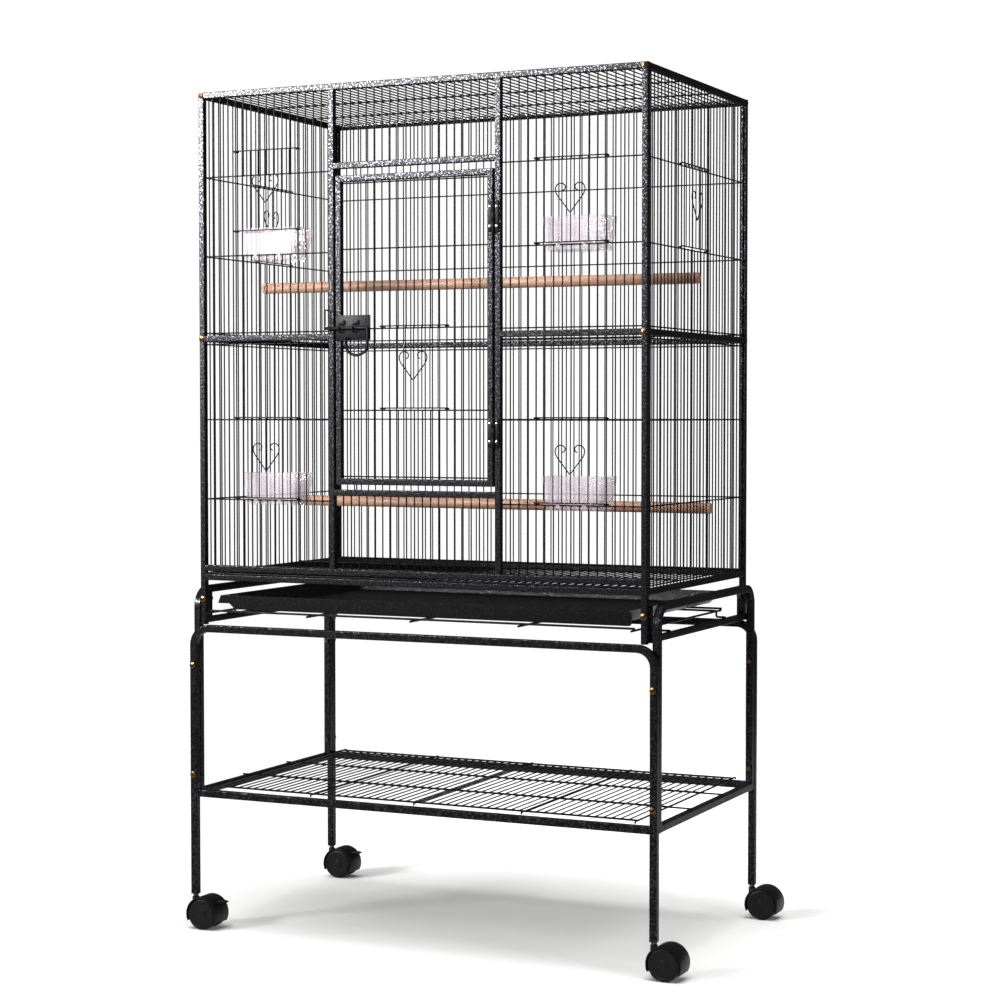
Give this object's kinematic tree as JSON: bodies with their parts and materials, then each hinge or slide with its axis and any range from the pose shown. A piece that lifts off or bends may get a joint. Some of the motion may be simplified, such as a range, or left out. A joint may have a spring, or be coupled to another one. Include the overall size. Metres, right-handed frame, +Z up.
{
  "type": "bird cage on stand",
  "caption": "Tall rectangular wire bird cage with a hinged front door, lift-up feeder doors, cups, perches and slide-out tray, on a wheeled stand with a wire shelf.",
  "frame": {"origin": "centre of the bounding box's footprint at the floor the wheels stand on", "axes": "+Z up, front with the main door towards -Y, +X to the right seen from the front"},
  "size_m": [0.8674, 0.499, 1.37],
  "materials": {
    "hammertone_paint": "hammertone powder coat, black with silver flecks",
    "bright_steel": "zinc plated",
    "yellow_zinc": "yellow passivated zinc",
    "hinge_black": "black",
    "black_nylon": "satin moulded nylon",
    "clear_plastic": "clear moulded plastic, slightly pink",
    "perch_wood": "plain turned hardwood"
  },
  "bodies": {
    "cage_and_stand": {"front_panel": "hammertone_paint", "rear_panel": "hammertone_paint", "left_panel": "hammertone_paint", "right_panel": "hammertone_paint", "top_grille": "hammertone_paint", "tray_rack": "hammertone_paint", "hinge_upper_jamb_leaf": "hinge_black", "hinge_lower_jamb_leaf": "hinge_black", "perch_upper": "perch_wood", "perch_lower": "perch_wood", "stand_front_frame": "hammertone_paint", "stand_rear_frame": "hammertone_paint", "stand_left_frame": "hammertone_paint", "stand_right_frame": "hammertone_paint", "shelf_grille": "hammertone_paint", "post_bolt_front_left": "yellow_zinc", "leg_bolt_upper_front_left": "yellow_zinc", "leg_bolt_lower_front_left": "yellow_zinc", "caster_stem_front_left": "bright_steel", "post_bolt_front_right": "yellow_zinc", "leg_bolt_upper_front_right": "yellow_zinc", "leg_bolt_lower_front_right": "yellow_zinc", "caster_stem_front_right": "bright_steel", "post_bolt_rear_left": "yellow_zinc", "leg_bolt_upper_rear_left": "yellow_zinc", "leg_bolt_lower_rear_left": "yellow_zinc", "caster_stem_rear_left": "bright_steel", "post_bolt_rear_right": "yellow_zinc", "leg_bolt_upper_rear_right": "yellow_zinc", "leg_bolt_lower_rear_right": "yellow_zinc", "caster_stem_rear_right": "bright_steel"},
    "floor_grille": {"floor_grille": "hammertone_paint"},
    "tray": {"tray": "hammertone_paint"},
    "main_door": {"main_door": "hammertone_paint", "hinge_upper_door_leaf": "hinge_black", "hinge_lower_door_leaf": "hinge_black", "latch_plate": "hammertone_paint"},
    "latch_bolt": {"latch_bolt": "bright_steel"},
    "feeder_door_upper_left": {"feeder_door_upper_left": "hammertone_paint"},
    "feeder_door_upper_right": {"feeder_door_upper_right": "hammertone_paint"},
    "feeder_door_lower_left": {"feeder_door_lower_left": "hammertone_paint"},
    "feeder_door_lower_right": {"feeder_door_lower_right": "hammertone_paint"},
    "feeder_door_main_door": {"feeder_door_main_door": "hammertone_paint"},
    "feeder_door_left_side": {"feeder_door_left_side": "hammertone_paint"},
    "feeder_door_right_side": {"feeder_door_right_side": "hammertone_paint"},
    "cup_upper_left": {"cup_upper_left": "clear_plastic"},
    "cup_upper_right": {"cup_upper_right": "clear_plastic"},
    "cup_lower_left": {"cup_lower_left": "clear_plastic"},
    "cup_lower_right": {"cup_lower_right": "clear_plastic"},
    "caster_front_left": {"caster_hood_front_left": "black_nylon"},
    "caster_wheels_front_left": {"caster_wheels_front_left": "black_nylon"},
    "brake_lever_front_left": {"brake_lever_front_left": "black_nylon"},
    "caster_front_right": {"caster_hood_front_right": "black_nylon"},
    "caster_wheels_front_right": {"caster_wheels_front_right": "black_nylon"},
    "caster_rear_left": {"caster_hood_rear_left": "black_nylon"},
    "caster_wheels_rear_left": {"caster_wheels_rear_left": "black_nylon"},
    "brake_lever_rear_left": {"brake_lever_rear_left": "black_nylon"},
    "caster_rear_right": {"caster_hood_rear_right": "black_nylon"},
    "caster_wheels_rear_right": {"caster_wheels_rear_right": "black_nylon"}
  },
  "joints": [
    {"name": "floor_grille_slide", "type": "slide", "parent": "cage_and_stand", "child": "floor_grille", "axis": [0, -1, 0], "range_m": [0, 0.42]},
    {"name": "tray_slide", "type": "slide", "parent": "cage_and_stand", "child": "tray", "axis": [0, -1, 0], "range_m": [0, 0.42]},
    {"name": "main_door_hinge", "type": "hinge", "parent": "cage_and_stand", "child": "main_door", "pos_m": [0.11756, -0.2328, 0.9795], "axis": [0, 0, 1], "range_deg": [0, 160]},
    {"name": "latch_bolt_slide", "type": "slide", "parent": "main_door", "child": "latch_bolt", "axis": [1, 0, 0], "range_m": [0, 0.016]},
    {"name": "feeder_door_upper_left_lift", "type": "slide", "parent": "cage_and_stand", "child": "feeder_door_upper_left", "axis": [0, 0, 1], "range_m": [-0.036, 0.074]},
    {"name": "feeder_door_upper_right_lift", "type": "slide", "parent": "cage_and_stand", "child": "feeder_door_upper_right", "axis": [0, 0, 1], "range_m": [0, 0.11]},
    {"name": "feeder_door_lower_left_lift", "type": "slide", "parent": "cage_and_stand", "child": "feeder_door_lower_left", "axis": [0, 0, 1], "range_m": [0, 0.11]},
    {"name": "feeder_door_lower_right_lift", "type": "slide", "parent": "cage_and_stand", "child": "feeder_door_lower_right", "axis": [0, 0, 1], "range_m": [0, 0.11]},
    {"name": "feeder_door_main_door_lift", "type": "slide", "parent": "main_door", "child": "feeder_door_main_door", "axis": [0, 0, 1], "range_m": [0, 0.11]},
    {"name": "feeder_door_left_side_lift", "type": "slide", "parent": "cage_and_stand", "child": "feeder_door_left_side", "axis": [0, 0, 1], "range_m": [0, 0.11]},
    {"name": "feeder_door_right_side_lift", "type": "slide", "parent": "cage_and_stand", "child": "feeder_door_right_side", "axis": [0, 0, 1], "range_m": [0, 0.11]},
    {"name": "cup_upper_left_lift", "type": "slide", "parent": "cage_and_stand", "child": "cup_upper_left", "axis": [0, 0, 1], "range_m": [0, 0.02]},
    {"name": "cup_upper_right_lift", "type": "slide", "parent": "cage_and_stand", "child": "cup_upper_right", "axis": [0, 0, 1], "range_m": [0, 0.02]},
    {"name": "cup_lower_left_lift", "type": "slide", "parent": "cage_and_stand", "child": "cup_lower_left", "axis": [0, 0, 1], "range_m": [0, 0.02]},
    {"name": "cup_lower_right_lift", "type": "slide", "parent": "cage_and_stand", "child": "cup_lower_right", "axis": [0, 0, 1], "range_m": [0, 0.02]},
    {"name": "caster_swivel_front_left", "type": "hinge", "parent": "cage_and_stand", "child": "caster_front_left", "pos_m": [-0.42694, -0.229, 0.045], "axis": [0, 0, 1], "continuous": true},
    {"name": "caster_roll_front_left", "type": "hinge", "parent": "caster_front_left", "child": "caster_wheels_front_left", "pos_m": [-0.40494, -0.229, 0.0253], "axis": [0, 1, 0], "continuous": true},
    {"name": "brake_lever_press_front_left", "type": "hinge", "parent": "caster_front_left", "child": "brake_lever_front_left", "pos_m": [-0.38894, -0.229, 0.0415], "axis": [0, 1, 0], "range_deg": [0, 14]},
    {"name": "caster_swivel_front_right", "type": "hinge", "parent": "cage_and_stand", "child": "caster_front_right", "pos_m": [0.38306, -0.229, 0.045], "axis": [0, 0, 1], "continuous": true},
    {"name": "caster_roll_front_right", "type": "hinge", "parent": "caster_front_right", "child": "caster_wheels_front_right", "pos_m": [0.40506, -0.229, 0.0253], "axis": [0, 1, 0], "continuous": true},
    {"name": "caster_swivel_rear_left", "type": "hinge", "parent": "cage_and_stand", "child": "caster_rear_left", "pos_m": [-0.42694, 0.229, 0.045], "axis": [0, 0, 1], "continuous": true},
    {"name": "caster_roll_rear_left", "type": "hinge", "parent": "caster_rear_left", "child": "caster_wheels_rear_left", "pos_m": [-0.40494, 0.229, 0.0253], "axis": [0, 1, 0], "continuous": true},
    {"name": "brake_lever_press_rear_left", "type": "hinge", "parent": "caster_rear_left", "child": "brake_lever_rear_left", "pos_m": [-0.38894, 0.229, 0.0415], "axis": [0, 1, 0], "range_deg": [0, 14]},
    {"name": "caster_swivel_rear_right", "type": "hinge", "parent": "cage_and_stand", "child": "caster_rear_right", "pos_m": [0.38306, 0.229, 0.045], "axis": [0, 0, 1], "continuous": true},
    {"name": "caster_roll_rear_right", "type": "hinge", "parent": "caster_rear_right", "child": "caster_wheels_rear_right", "pos_m": [0.40506, 0.229, 0.0253], "axis": [0, 1, 0], "continuous": true}
  ]
}
